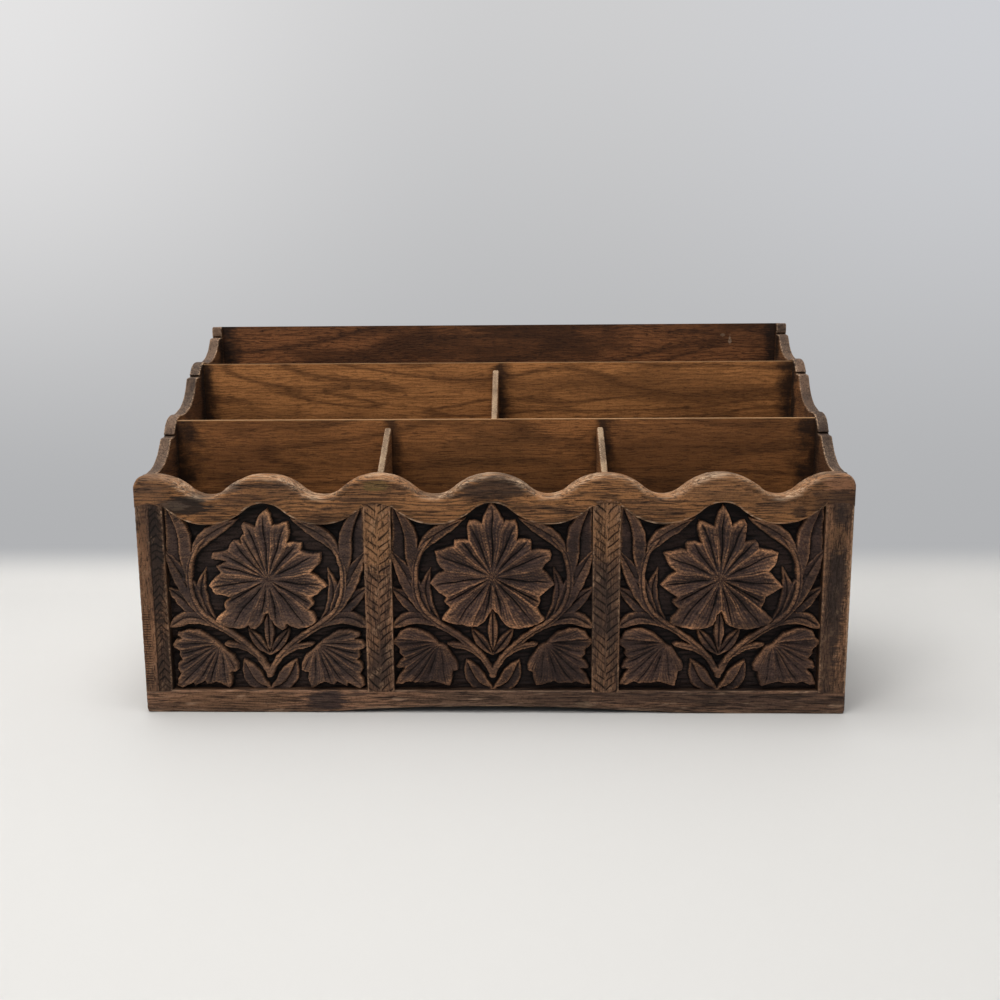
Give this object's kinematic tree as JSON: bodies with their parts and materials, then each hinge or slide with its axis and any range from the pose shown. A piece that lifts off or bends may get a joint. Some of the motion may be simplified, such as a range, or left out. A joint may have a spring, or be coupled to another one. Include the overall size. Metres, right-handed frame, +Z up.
{
  "type": "letter holder",
  "caption": "Three-tier desk letter holder: stepped ogee sides, open-topped slots and pockets, and a carved floral front under a scalloped rim.",
  "frame": {"origin": "on the table, under the middle of the holder's footprint", "axes": "+Z up, +X to the right along the width as seen from the front, +Y from the carved front to the back"},
  "size_m": [0.33, 0.134, 0.184],
  "materials": {
    "carved_front": "dark antiqued stain, worn to lighter wood on the raised edges",
    "case_wood": "medium brown stain with dark glaze in the corners, satin",
    "inner_wood": "warm brown stain, satin, with pale worn top edges",
    "divider_wood": "warm brown stain with pale worn top edge"
  },
  "bodies": {
    "root": {"front_panel": "carved_front", "left_side": "case_wood", "right_side": "case_wood", "back_panel": "case_wood", "base_panel": "case_wood", "front_partition": "inner_wood", "rear_partition": "inner_wood", "middle_divider": "divider_wood", "front_divider_left": "divider_wood", "front_divider_right": "divider_wood"}
  },
  "joints": []
}
